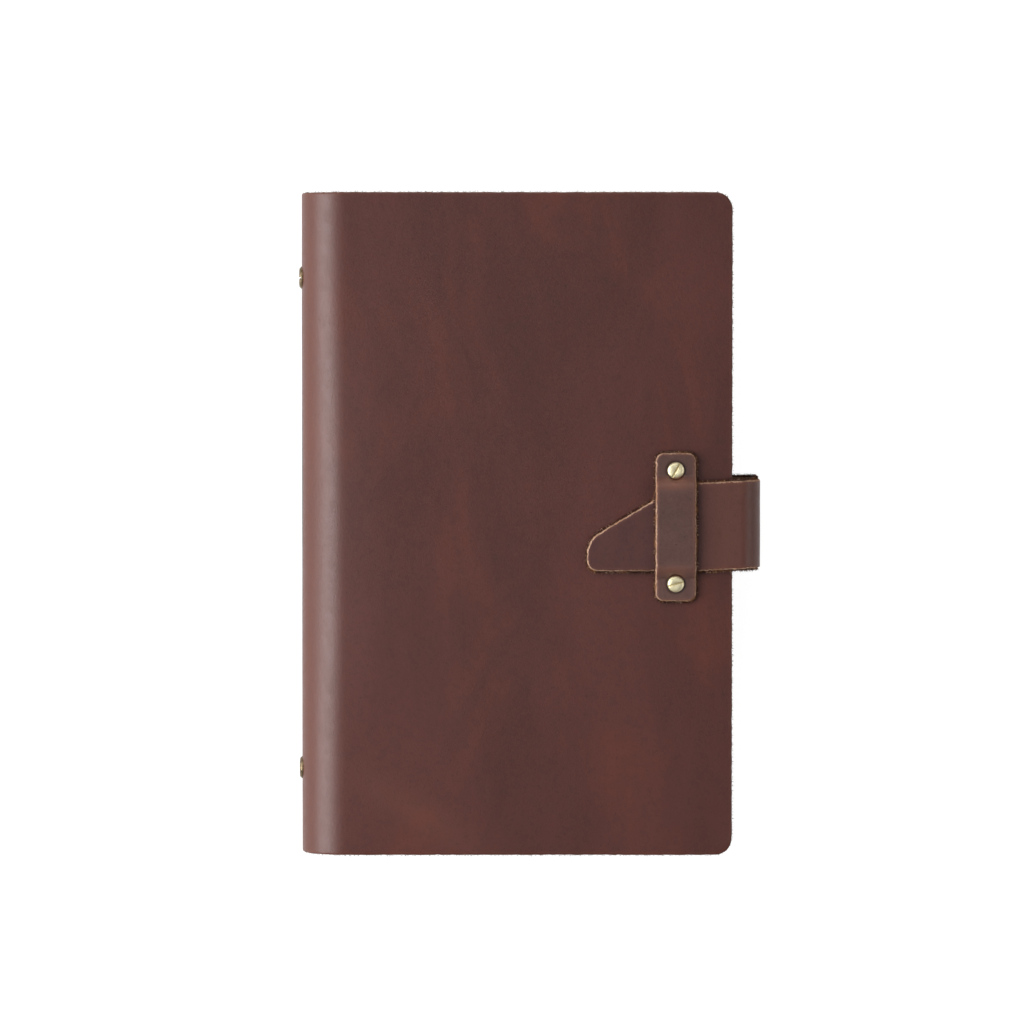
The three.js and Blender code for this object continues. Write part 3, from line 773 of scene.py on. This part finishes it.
def strap_place(side, start_x):
    """side is 1 for the tongue half and -1 for the root half; u runs from the cut end to mid-wrap."""
    run = CUT_X - start_x
    total = run + STRAP_TURN + STRAP_RISE

    def place(u, v, h):
        h += 0.05 * MM * wander(u, v, side * 5.0, 13 * MM)
        if side > 0:
            travelled = u - (keeper_high.x - TIP_X)
        else:
            travelled = (CUT_X - keeper_high.x) + STRAP_TURN + STRAP_RISE + (total - u)
        lean = STRAP_LEAN * sin(QUARTER * min(max(travelled / LEAN_LENGTH, 0), 1))
        if u <= run:
            x, z = start_x + u, wrap_low.z + STRAP / 2 - h
        elif u <= run + STRAP_TURN:
            turn = (u - run) / STRAP_RADIUS
            x = CUT_X + (STRAP_RADIUS + h) * sin(turn)
            z = wrap_low.z + BEND - (STRAP_RADIUS + h) * cos(turn)
        else:
            x, z = CUT_X + STRAP_RADIUS + h, wrap_low.z + BEND + u - run - STRAP_TURN
        return x, v + lean, (2 * STRAP_MID_Z - z if side > 0 else z)

    return place, run, total


def round_end(u, radius):
    """How much an edge draws in at a distance u from a cut end with round corners."""
    if u >= radius:
        return 0.0
    return radius - sqrt(max(0.0, radius**2 - (radius - u) ** 2))


def tongue_high_edge(u):
    """The tongue's slanted upper edge: nose arc, slant, then full width."""
    nose_end = NOSE * (1 - sin(SLANT))
    if u <= nose_end:
        return NOSE_Y + sqrt(max(0.0, NOSE**2 - (NOSE - u) ** 2))
    nose_top = NOSE_Y + NOSE * cos(SLANT)
    return min(STRAP_Y + STRAP_HALF, nose_top + (u - nose_end) * tan(SLANT))


def strap_half(name, low, high, place, seed, wear):
    return leather(
        name, Outline(low, high, False), place, STRAP, RAW_EDGE, 46, strap_leather,
        STRAP_RAG, seed, wear, fibres=9, fibre_length=0.85 * MM,
    )


def build_strap():
    place, run, total = strap_place(1, TIP_X)
    nose = 4 * MM  # rows lie closer together round the tip
    bent = run + STRAP_TURN
    rows = spaced((0, nose, 12, "ease"), (nose, run, 140), (run, bent, 26), (bent, total, 16))
    low = [(u, STRAP_Y - STRAP_HALF + round_end(u, HEEL)) for u in rows]
    high = [(u, tongue_high_edge(u)) for u in rows]

    def tongue_wear(u, v):
        """Paler past the keeper, where the strap is pulled and bent."""
        past_keeper = u - (keeper_high.x - TIP_X)
        bend = smooth((u - run + 2 * MM) / (5 * MM))
        bend *= smooth((bent + 2 * MM - u) / (5 * MM))
        rub = bell(past_keeper - 6 * MM, 7 * MM)
        pulled = smooth(past_keeper / (9 * MM))
        return 0.05 * bend + 0.05 * rub + 0.11 * pulled

    front = strap_half("strap_front", low, high, place, 31, tongue_wear)

    place, run, total = strap_place(-1, root_low.x)
    end = run + STRAP_TURN
    corner = (0, ROOT_CORNER, 7, "ease")
    rows = spaced(corner, (ROOT_CORNER, run, 28), (run, end, 22), (end, total, 16))
    low = [(u, STRAP_Y - STRAP_HALF + round_end(u, ROOT_CORNER)) for u in rows]
    high = [(u, STRAP_Y + STRAP_HALF - round_end(u, ROOT_CORNER)) for u in rows]

    def root_wear(u, v):
        return 0.1 * smooth((u - run) / (3 * MM))

    rear = strap_half("strap_rear", low, high, place, 32, root_wear)
    settle_bend(
        rear, ["strap_root", "strap_wrap"],
    )
    settle_bend(
        front, ["strap_tongue"],
    )


# ---- The keeper ----

screw_low, screw_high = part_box("keeper_screw_upper")
SCREW_HEAD = (screw_high.x - screw_low.x) / 2
KEEPER_SEAT = THICK + STRAP
KEEPER_SCREWS = [placed("keeper_screw_upper")[2], placed("keeper_screw_lower")[2]]
KEEPER_CORNER = 2.6 * MM
SLOPE_START = 11.6 * MM
SLOPE_LENGTH = 3.4 * MM
PRESSED = 0.16 * MM  # how deep the screw heads press in
CROWN = 0.2 * MM
KEEPER_RAG = 0.20 * MM


def keeper_place(u, v, h):
    """u runs from the keeper's lower end to its upper end, v across it."""
    y = keeper_low.y + u
    reach = abs(y - KEEPER_Y)
    t = min(max((reach - SLOPE_START) / SLOPE_LENGTH, 0.0), 1.0)
    crown = CROWN * (1 - min(1.0, reach / SLOPE_START) ** 2) ** 2
    level = THICK + STRAP / 2 + (KEEPER_RISE - CROWN + crown) * (1 - smooth(t))
    slope = -KEEPER_RISE * 6 * t * (1 - t) / SLOPE_LENGTH * copysign(1, y - KEEPER_Y)
    length = sqrt(1 + slope * slope)
    h += 0.03 * MM * wander(u, v, 9.0, 7 * MM)
    y -= h * slope / length
    z = level + h / length
    x = KEEPER_X + v
    if h > 0:
        for screw in KEEPER_SCREWS:
            away = hypot(x - screw.x, y - screw.y)
            press = 1 - smooth((away - SCREW_HEAD * 1.02) / (0.85 * MM))
            if press > 0:
                pressed_z = min(z, KEEPER_SEAT) - PRESSED * press
                z = z + (pressed_z - z) * press
    return x, y, z


def build_keeper():
    length = keeper_high.y - keeper_low.y
    half = (keeper_high.x - keeper_low.x) / 2
    corner = (0, KEEPER_CORNER, 8, "ease")
    rows = spaced(corner, (KEEPER_CORNER, length - KEEPER_CORNER, 130))
    rows += [length - r for r in spaced(corner)[::-1][1:]]

    def width(u):
        return half - round_end(min(u, length - u), KEEPER_CORNER)

    def wear(u, v):
        """Rubbed where the keeper bends up over the strap."""
        reach = abs(u + keeper_low.y - KEEPER_Y)
        slope = bell(reach - SLOPE_START - 0.8 * MM, 1.5 * MM)
        slope *= 0.35 + 0.65 * bell(v + 0.8 * MM, 4.2 * MM)
        return (0.42 if u > length / 2 else 0.28) * slope + 0.03

    def ring_shade(u, v):
        """Painted shade: a dark ring in the gap round each screw head, where it presses into the leather.
        """
        gaps = [hypot(KEEPER_X + v - s.x, keeper_low.y + u - s.y) for s in KEEPER_SCREWS]
        return 0.85 * bell(min(gaps) - SCREW_HEAD * 1.08, 0.42 * MM)

    outline = Outline.even(rows, width, True)
    keeper = leather(
        "keeper_loop", outline, keeper_place, STRAP, RAW_EDGE, 40, keeper_leather, KEEPER_RAG, 41,
        wear, ring_shade, fibres=8, fibre_length=0.7 * MM,
    )
    settle(keeper, "front", ["keeper"])


# ---- Screws and posts ----

SMALL_HEAD = 0.9 * MM  # height of a small screw's head
SMALL_SHANK = 1.0 * MM
SPINE_HEAD = 1.2 * MM
SPINE_SHANK = 1.4 * MM


def slotted_head(name, where, axis, radius, seat, top, tip, shank, slot_turn, finish, slot_shade_finish):
    """A slotted screw; seat, top and tip are heights along its axis. The slot's faces take the second
    finish, painted shade inside the slot.
    """
    rise = top - seat
    height = abs(rise)
    outward = copysign(1, rise)  # the way the head faces along the axis
    lip = radius - 0.42 * height
    profile = [(0, tip), (shank, tip), (shank, seat), (radius - 0.08 * MM, seat)]
    profile += [(radius, seat + outward * 0.10 * MM), (radius, seat + rise * 0.42)]
    profile += [(radius - 0.05 * MM, seat + rise * 0.52), (lip, seat + rise * 0.93)]
    profile += [(lip - 0.09 * MM, top - outward * 0.012 * MM), (lip * 0.62, top), (0, top)]
    screw = turned(name, profile, where, axis)
    width, depth = radius * 0.11, height * 0.5
    slot = block("slot_cutter", (-radius * 1.3, -width, -depth), (radius * 1.3, width, depth))
    up, turn = Vector((0, 0, top)), Matrix.Rotation(slot_turn, 4, axis)
    if axis == "X":
        up, turn = Vector((top, 0, 0)), turn @ Matrix.Rotation(QUARTER, 4, "Y")
    slot.matrix_world = Matrix.Translation(Vector(where) + up) @ turn
    bpy.context.view_layer.update()
    to_slot = slot.matrix_world.inverted()
    cut(screw, [slot])
    rounded(screw, 0.05 * MM, 2, 35)
    paint(screw, finish, slot_shade_finish)
    # Faces inside the slot take the second finish, which is painted shade in the slot.
    for face in screw.data.polygons:
        there = to_slot @ face.center
        sunk = 0.06 * MM < -there.z < depth + 0.02 * MM and abs(there.x) < radius
        face.material_index = 1 if sunk and abs(there.y) < width + 0.02 * MM else 0
    set_sheet(screw)
    finish_normals(screw, 40)
    return screw


def small_screw(node, body, slot_turn):
    low, high, at = placed(node)
    radius = (high.x - low.x) / 2
    seat = high.z - SMALL_HEAD
    screw = slotted_head(
        node + "_turned", (at.x, at.y, 0), "Z", radius, seat, high.z, low.z, SMALL_SHANK, slot_turn,
        brass, slot_shade_brass,
    )
    settle(screw, body, [node])


def small_post(node, body):
    """A post: a shallow domed cap that shows, and the barrel behind it."""
    low, high, at = placed(node)
    radius = (high.x - low.x) / 2
    cap, barrel, bore = 0.8 * MM, 1.7 * MM, 1.3 * MM
    length = high.z - low.z
    profile = [(0, 0), (radius * 0.5, 0.015 * MM), (radius * 0.82, 0.07 * MM)]
    profile += [(radius * 0.95, 0.2 * MM), (radius, 0.38 * MM), (radius, cap)]
    profile += [(barrel, cap), (barrel, length - 0.15 * MM), (barrel - 0.1 * MM, length)]
    profile += [(bore, length), (bore, cap), (0, cap - 0.2 * MM)]
    post = turned(node + "_turned", profile, (at.x, at.y, low.z), "Z")
    paint(post, brass)
    finish_normals(post, 40)
    settle(post, body, [node])


def spine_screw(node, slot_turn):
    low, high, at = placed(node)
    radius = (high.y - low.y) / 2
    screw = slotted_head(
        node + "_turned", (0, at.y, at.z), "X", radius, low.x + SPINE_HEAD, low.x, high.x, SPINE_SHANK,
        slot_turn, dark_brass, dark_brass,
    )
    settle(screw, "spine", [node])


def spine_post(node):
    low, high, at = placed(node)
    cap, barrel, bore, dome = (high.y - low.y) / 2, 2.1 * MM, 1.7 * MM, 0.8 * MM
    base = high.x - dome
    rim = base + dome * 0.35  # where the cap's straight side ends and its dome starts
    profile = [(bore, low.x), (barrel, low.x), (barrel, base), (cap, base), (cap, rim)]
    for i in range(1, 8):
        turn = QUARTER * i / 8
        profile.append((cap * cos(turn), rim + dome * 0.65 * sin(turn)))
    profile += [(0, high.x), (0, base - 0.9 * MM), (bore, base - 0.9 * MM), (bore, low.x)]
    post = turned(node + "_turned", profile, (0, at.y, at.z), "X")
    paint(post, nickel)
    finish_normals(post, 40)
    settle(post, "spine", [node])


# ---- Ring mechanism ----

STEEL = 0.8 * MM


def arch(half_width, foot_x, crown_x, count):
    """Points of the arched plate's section, from its lower edge over the crown to its upper edge."""
    points = []
    for i in range(count + 1):
        w = -cos(pi * i / count)
        lift = (1 - abs(w) ** 4.2) ** 0.5
        points.append((foot_x + (crown_x - foot_x) * lift, MID_Z + half_width * w))
    return points


def build_plate():
    half = (plate_high.z - plate_low.z) / 2
    outer = arch(half, plate_low.x, plate_high.x, 30)
    inner = arch(half - STEEL, plate_low.x, plate_high.x - STEEL, 30)[::-1]
    section = outer + inner
    made = Mesh()
    rows = []
    end_round = 3.2 * MM
    for y in (plate_low.y, plate_low.y + end_round, plate_high.y - end_round, plate_high.y):
        rows.append([made.point((x, y, z)) for x, z in section])
    made.wrap(rows)
    count = len(outer)
    for row in (rows[0], rows[-1]):
        for n in range(count - 1):
            made.face([row[n], row[n + 1], row[-2 - n], row[-1 - n]])
    plate = made.piece("ring_plate_arched", [])
    slot_half = WIRE + 0.5 * MM
    cutters = []
    for y in RING_Y:
        for side in (-1, 1):
            near, far = MID_Z + side * 3.8 * MM, MID_Z + side * (half + 1 * MM)
            low = (plate_low.x - 1 * MM, y - slot_half, min(near, far))
            high = (plate_high.x + 1 * MM, y + slot_half, max(near, far))
            cutters.append(block("slot_cutter", low, high))
    cut(plate, cutters)
    rounded(plate, 0.14 * MM, 2, 40)
    paint(plate, nickel)
    set_sheet(plate)
    finish_normals(plate, 32)
    settle(plate, "spine", ["ring_plate"])


WIRE_CORNERS = 20
WIRE_ARC = radians(118)  # how far round the wire goes before it turns in to its foot
TIP_GAP = 0.15 * MM  # half the gap between two tips, along the wire
TIP_BEVEL = 0.12 * MM
FOOT_BOW = 0.35 * MM


def half_ring(side, number, y):
    """Round wire from its bevelled tip to its foot on the blade."""
    half = "upper" if side > 0 else "lower"
    node = f"{half}_ring_{number}"
    start = TIP_GAP / RING_RADIUS
    path = []
    steps = 36
    for i in range(steps + 1):
        turn = start + (WIRE_ARC - start) * i / steps
        x = RING_X + RING_RADIUS * cos(turn)
        at = Vector((x, y, MID_Z + side * RING_RADIUS * sin(turn)))
        path.append((at, Vector((-sin(turn), 0, side * cos(turn)))))
    foot_at = Vector((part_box(node)[0].x + WIRE * 0.7, y, MID_Z + side * 5.2 * MM))
    last, ahead = path[-1]
    for i in range(1, 7):
        t = i / 6
        at = last.lerp(foot_at, t) + ahead * sin(t * pi) * FOOT_BOW
        path.append((at, (foot_at - last).normalized().lerp(ahead, 1 - t).normalized()))
    tip, tip_ahead = path[0]
    rows = [(tip, tip_ahead, WIRE - TIP_BEVEL), (tip + path[1][1] * TIP_BEVEL, tip_ahead, WIRE)]
    rows += [(at, ahead, WIRE) for at, ahead in path[1:]]
    made = Mesh()
    sideways = Vector((0, 1, 0))
    rings = []
    for at, ahead, size in rows:
        across = ahead.cross(sideways).normalized()
        ring = []
        for k in range(WIRE_CORNERS):
            turn = 2 * pi * k / WIRE_CORNERS
            p = at + across * size * cos(turn) + sideways * size * sin(turn)
            ring.append(made.point(p))
        rings.append(ring)
    made.wrap(rings)
    made.face(rings[0][::-1])
    made.face(rings[-1])
    wire = made.piece(node + "_wire", [nickel], 40)
    settle(wire, half + "_half_rings", [node])


def refined(node, name, body, width, segments=2):
    """A steel CAD node's own shape with its edges rounded."""
    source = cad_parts[node]
    piece = add_object(name, source.data.copy())
    work = bmesh.new()
    work.from_mesh(piece.data)
    bmesh.ops.remove_doubles(work, verts=work.verts, dist=0.005 * MM)
    bmesh.ops.dissolve_limit(work, angle_limit=radians(2), verts=work.verts, edges=work.edges)
    work.to_mesh(piece.data)
    work.free()
    rounded(piece, width, segments, 28)
    paint(piece, nickel)
    set_sheet(piece)
    finish_normals(piece, 35)
    settle(piece, body, [node])


# ---- Leaves ----

SHEETS = 34
SHEET_THICK = 0.10 * MM
SHEET_SHIFT = 3.1  # how far apart two leaves lie on the paper's pattern
HOLE_RADIUS = 2.6 * MM
CELL = RING_X + RING_RADIUS - rear_low.x  # from the ring edge to a hole's centre
NEAR = 0.001 * MM


def leaf_plan():
    """One leaf seen flat: (u, v) points from its ring edge, and quads, with a round hole at each ring."""
    points, quads = [], []
    index = {}

    def point(u, v):
        key = (round(u * 1e7), round(v * 1e7))
        if key not in index:
            index[key] = len(points)
            points.append((u, v))
        return index[key]

    step = CELL / 2
    ys = sorted(RING_Y)
    lines = [rear_low.y, rear_low.y + 9 * MM]
    for y in ys:
        lines += [y + step * k for k in (-2, -1, 0, 1, 2)]
    lines += [rear_high.y - 9 * MM, rear_high.y]
    lines = sorted(set(round(v, 9) for v in lines))
    near = [step * k for k in range(5)]
    width = rear_high.x - rear_low.x
    far = near[-1:] + [14 * MM, 18 * MM, 22 * MM, 27 * MM, 34 * MM, 60 * MM, width]
    for v0, v1 in zip(lines, lines[1:]):
        in_cell = any(y - CELL - NEAR <= v0 and v1 <= y + CELL + NEAR for y in ys)
        columns = far if in_cell else near[:-1] + far
        for u0, u1 in zip(columns, columns[1:]):
            quads.append([point(u0, v0), point(u1, v0), point(u1, v1), point(u0, v1)])
    ring_steps = [(k, -2) for k in range(-2, 2)] + [(2, k) for k in range(-2, 2)]
    ring_steps += [(-k, 2) for k in range(-2, 2)] + [(-2, -k) for k in range(-2, 2)]
    for y in ys:
        outer, inner = [], []
        for a, b in ring_steps:
            outer.append(point(CELL + a * step, y + b * step))
            turn = atan2(b, a)
            inner.append(point(CELL + HOLE_RADIUS * cos(turn), y + HOLE_RADIUS * sin(turn)))
        for k in range(16):
            m = (k + 1) % 16
            quads.append([outer[k], outer[m], inner[m], inner[k]])
    return points, quads


def build_leaves():
    points, quads = leaf_plan()
    edges = {}
    for quad in quads:
        for a, b in zip(quad, quad[1:] + quad[:1]):
            edges[(a, b)] = edges.get((a, b), 0) + 1
    rim = [(a, b) for a, b in edges if (b, a) not in edges]
    depth = MID_Z - rear_low.z
    pinch = 4.0 * MM  # one stack's depth at its ring edge
    open_from, open_to = 1.5 * MM, 26 * MM
    for side, half in ((-1, "rear"), (1, "front")):
        draw = random.Random(70 + side)
        made = Mesh()
        for n in range(SHEETS):
            share = (n + 0.5) / SHEETS
            slip_u, slip_v = draw.uniform(-0.16, 0.16) * MM, draw.uniform(-0.22, 0.22) * MM
            skew = draw.uniform(-0.0012, 0.0012)
            ruled = 1.0 if n == 0 else 0.0

            def height(u, v):
                opened = smooth((u - open_from) / (open_to - open_from))
                span = pinch + (depth - pinch) * opened
                wave = 0.22 * MM * wander(u, v, side * 4.0, 45 * MM) * share * opened
                ripple = 0.05 * MM * wander(u, v, n * 0.35, 18 * MM) * opened
                return 0.15 * MM + (span - 0.25 * MM) * share + min(wave, 0.0) * 0.6 + ripple

            for layer in (-0.5, 0.5):
                for u, v in points:
                    w = height(u, v) + layer * SHEET_THICK
                    x = rear_low.x + u + slip_u + skew * v
                    place = (x, v + slip_v - skew * u, MID_Z + side * w)
                    made.point(place, (u, v, n * SHEET_SHIFT), mark=ruled)
            base = len(made.points) - 2 * len(points)
            top = base + len(points)
            for quad in quads:
                made.face([top + k for k in quad])
                made.face([base + k for k in quad[::-1]])
            for a, b in rim:
                made.face([base + a, base + b, top + b, top + a])
        stack = made.piece(half + "_sheets", [paper], 50)
        settle(stack, half + "_stack", [half + "_leaves"])


# ---- Camera, floor and light ----

CAMERA_HEIGHT = 1.385  # above the front panel
CAMERA_OVER = Vector((-5.0 * MM, 47.9 * MM))  # the point it stands over
CAMERA_AIM = Vector((-5.0 * MM, 3.55 * MM))
LENS = 168.4


scene = bpy.context.scene


def build_camera():
    data = bpy.data.cameras.new("camera")
    data.lens = LENS
    data.clip_start = 0.05
    camera = add_object("camera", data)
    camera.location = (CAMERA_OVER.x, CAMERA_OVER.y, THICK + CAMERA_HEIGHT)
    tilt = atan2(CAMERA_OVER.y - CAMERA_AIM.y, CAMERA_HEIGHT)
    camera.rotation_euler = (-tilt, 0, 0)
    scene.camera = camera


def build_floor():
    look = Look("floor_white", Roughness=0.9, Specular_IOR_Level=0.1, Base_Color=rgb(0.16, 0.16, 0.16))
    look.shader.inputs["Emission Color"].default_value = rgb(1, 1, 1)
    look.shader.inputs["Emission Strength"].default_value = 0.94
    size = 4.0
    made = Mesh()
    for x, y in ((-size, -size), (size, -size), (size, size), (-size, size)):
        made.point((x, y, -0.02 * MM), (x, y, 0))
    made.face((0, 1, 2, 3))
    floor = made.piece("floor", [look.material])


def softbox(name, where, aim, width, height, power, colour=(1, 1, 1)):
    data = bpy.data.lights.new(name, "AREA")
    data.shape = "RECTANGLE"
    data.size, data.size_y = width, height
    data.energy = power
    data.color = colour
    light = add_object(name, data)
    light.location = where
    light.rotation_euler = (Vector(aim) - Vector(where)).to_track_quat("-Z", "Y").to_euler()


def build_light():
    world = bpy.data.worlds.new("studio")
    scene.world = world
    world.use_nodes = True
    tree = world.node_tree
    back = tree.nodes["Background"]
    back.inputs["Strength"].default_value = 1.0
    where = tree.nodes.new("ShaderNodeTexCoord")
    parts = tree.nodes.new("ShaderNodeSeparateXYZ")
    ramp = tree.nodes.new("ShaderNodeValToRGB")
    tree.links.new(where.outputs["Generated"], parts.inputs["Vector"])
    tree.links.new(parts.outputs["Z"], ramp.inputs["Fac"])
    tree.links.new(ramp.outputs["Color"], back.inputs["Color"])
    stops = ramp.color_ramp.elements
    stops[0].color = rgb(0.85, 0.86, 0.89)
    stops[1].color = rgb(0.17, 0.175, 0.18)
    stops.new(0.35).color = rgb(0.22, 0.225, 0.235)
    softbox("left_softbox", (-0.965, 0.0, 0.63), (-0.03, 0.0, 0.015), 1.1, 0.85, 25, (0.94, 0.98, 1.0))
    softbox("top_softbox", (-0.25, 1.15, 1.15), (0, 0, 0.02), 1.4, 0.7, 7)
    softbox("right_softbox", (1.1, 0.0, 0.85), (0, 0, 0.02), 1.0, 0.6, 4.5)
    softbox("overhead_softbox", (-0.25, -0.03, 1.55), (0, 0, 0.02), 0.32, 0.32, 1.4)
    scene.view_settings.view_transform = "Standard"
    scene.view_settings.look = "None"


# ---- Assembly ----

build_camera()
build_floor()
build_light()
build_hide()
build_strap()
build_keeper()
small_screw("keeper_screw_upper", "front", radians(62))
small_screw("keeper_screw_lower", "front", radians(16))
small_screw("strap_screw_upper", "back", radians(36))
small_screw("strap_screw_lower", "back", radians(126))
for leather_part, body in (("keeper", "front"), ("strap", "back")):
    for place in ("upper", "lower"):
        small_post(f"{leather_part}_post_{place}", body)
spine_screw("spine_screw_head", 0.1)
spine_screw("spine_screw_tail", 0.35)
spine_post("spine_post_head")
spine_post("spine_post_tail")
build_plate()
for number, y in enumerate(RING_Y, 1):
    half_ring(1, number, y)
    half_ring(-1, number, y)
for half in ("upper", "lower"):
    refined(half + "_blade", half + "_blade_strip", half + "_half_rings", 0.12 * MM)
for end in ("head", "tail"):
    refined("lever_" + end, f"lever_{end}_tab", end + "_lever", 0.22 * MM, 3)
build_leaves()
